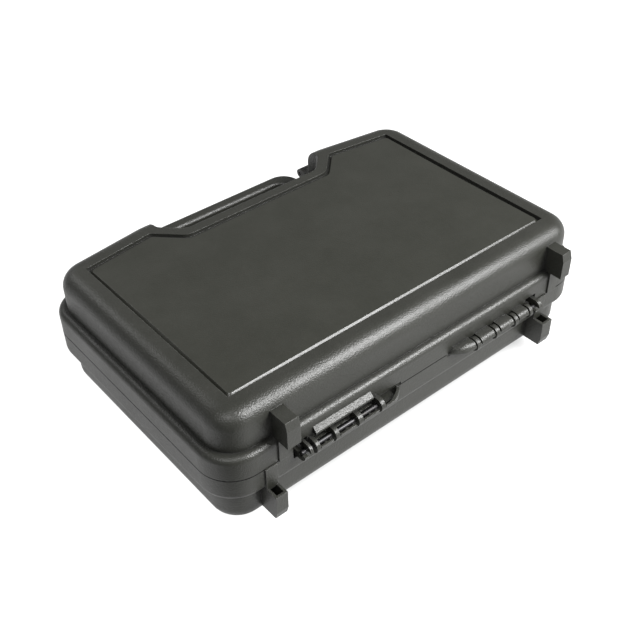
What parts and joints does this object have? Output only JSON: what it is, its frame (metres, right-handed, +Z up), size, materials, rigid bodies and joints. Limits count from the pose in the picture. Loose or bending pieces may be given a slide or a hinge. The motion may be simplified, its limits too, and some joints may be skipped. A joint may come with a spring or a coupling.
{
  "type": "portable battery box",
  "caption": "Clamshell plastic case with moulded handle, hinges, feet and latches that holds a flat pack of cylindrical cells under a deck with terminals, fuse and switch.",
  "frame": {"origin": "under the middle of the closed case, on the surface that its flat underside rests on", "axes": "+X along the hinge side, +Y from the hinges toward the carrying handle, +Z up through the lid"},
  "size_m": [0.2612, 0.1984, 0.074],
  "materials": {
    "case_plastic": "fine moulded texture, warm black",
    "plate_plastic": "fine moulded texture",
    "pin_steel": "drawn steel",
    "latch_plastic": "satin",
    "tray_plastic": "satin",
    "nickel": "satin",
    "copper": "satin copper",
    "deck_plastic": "satin sheet",
    "screw_steel": "zinc plated",
    "brass": "turned",
    "knob_red": "gloss",
    "knob_black": "gloss",
    "box_plastic": "satin",
    "circuit_board": "solder mask",
    "switch_plastic": "gloss",
    "rocker_plastic": "gloss",
    "fuse_plastic": "tinted",
    "foam": "open-cell foam",
    "cell_wrap": "shrink wrap"
  },
  "bodies": {
    "base": {"base_shell": "case_plastic", "base_panel": "plate_plastic", "hinge_pin_right": "pin_steel", "cell_cradle": "tray_plastic", "series_strips": "nickel", "bus_bar_positive": "copper", "bus_bar_negative": "copper", "deck_panel": "deck_plastic", "deck_screws": "screw_steel", "terminal_stud_positive": "brass", "terminal_stud_negative": "brass", "terminal_knob_positive": "knob_red", "terminal_knob_negative": "knob_black", "control_box": "box_plastic", "protection_board": "circuit_board", "switch_body": "switch_plastic", "fuse_holder": "switch_plastic", "blade_fuse": "fuse_plastic", "cell_1_1": "cell_wrap", "cell_1_2": "cell_wrap", "cell_1_3": "cell_wrap", "cell_1_4": "cell_wrap", "cell_2_1": "cell_wrap", "cell_2_2": "cell_wrap", "cell_2_3": "cell_wrap", "cell_2_4": "cell_wrap", "cell_3_1": "cell_wrap", "cell_3_2": "cell_wrap", "cell_3_3": "cell_wrap", "cell_3_4": "cell_wrap"},
    "lid": {"lid_shell": "case_plastic", "lid_panel": "plate_plastic", "hinge_pin_left": "pin_steel", "latch_pin_left": "pin_steel", "latch_pin_right": "pin_steel", "lid_foam": "foam"},
    "latch_left": {"latch_left": "latch_plastic"},
    "latch_right": {"latch_right": "latch_plastic"},
    "rocker": {"rocker_button": "rocker_plastic"}
  },
  "joints": [
    {"name": "lid_hinge", "type": "hinge", "parent": "base", "child": "lid", "pos_m": [0, -0.0945, 0.037], "axis": [1, 0, 0], "range_deg": [0, 180]},
    {"name": "latch_left_hinge", "type": "hinge", "parent": "lid", "child": "latch_left", "pos_m": [-0.0765, 0.08862, 0.05], "axis": [1, 0, 0], "range_deg": [0, 100]},
    {"name": "latch_right_hinge", "type": "hinge", "parent": "lid", "child": "latch_right", "pos_m": [0.0765, 0.08862, 0.05], "axis": [1, 0, 0], "range_deg": [0, 100]},
    {"name": "rocker_pivot", "type": "hinge", "parent": "base", "child": "rocker", "pos_m": [0.098, -0.0165, 0.057], "axis": [1, 0, 0], "range_deg": [0, 20]}
  ]
}
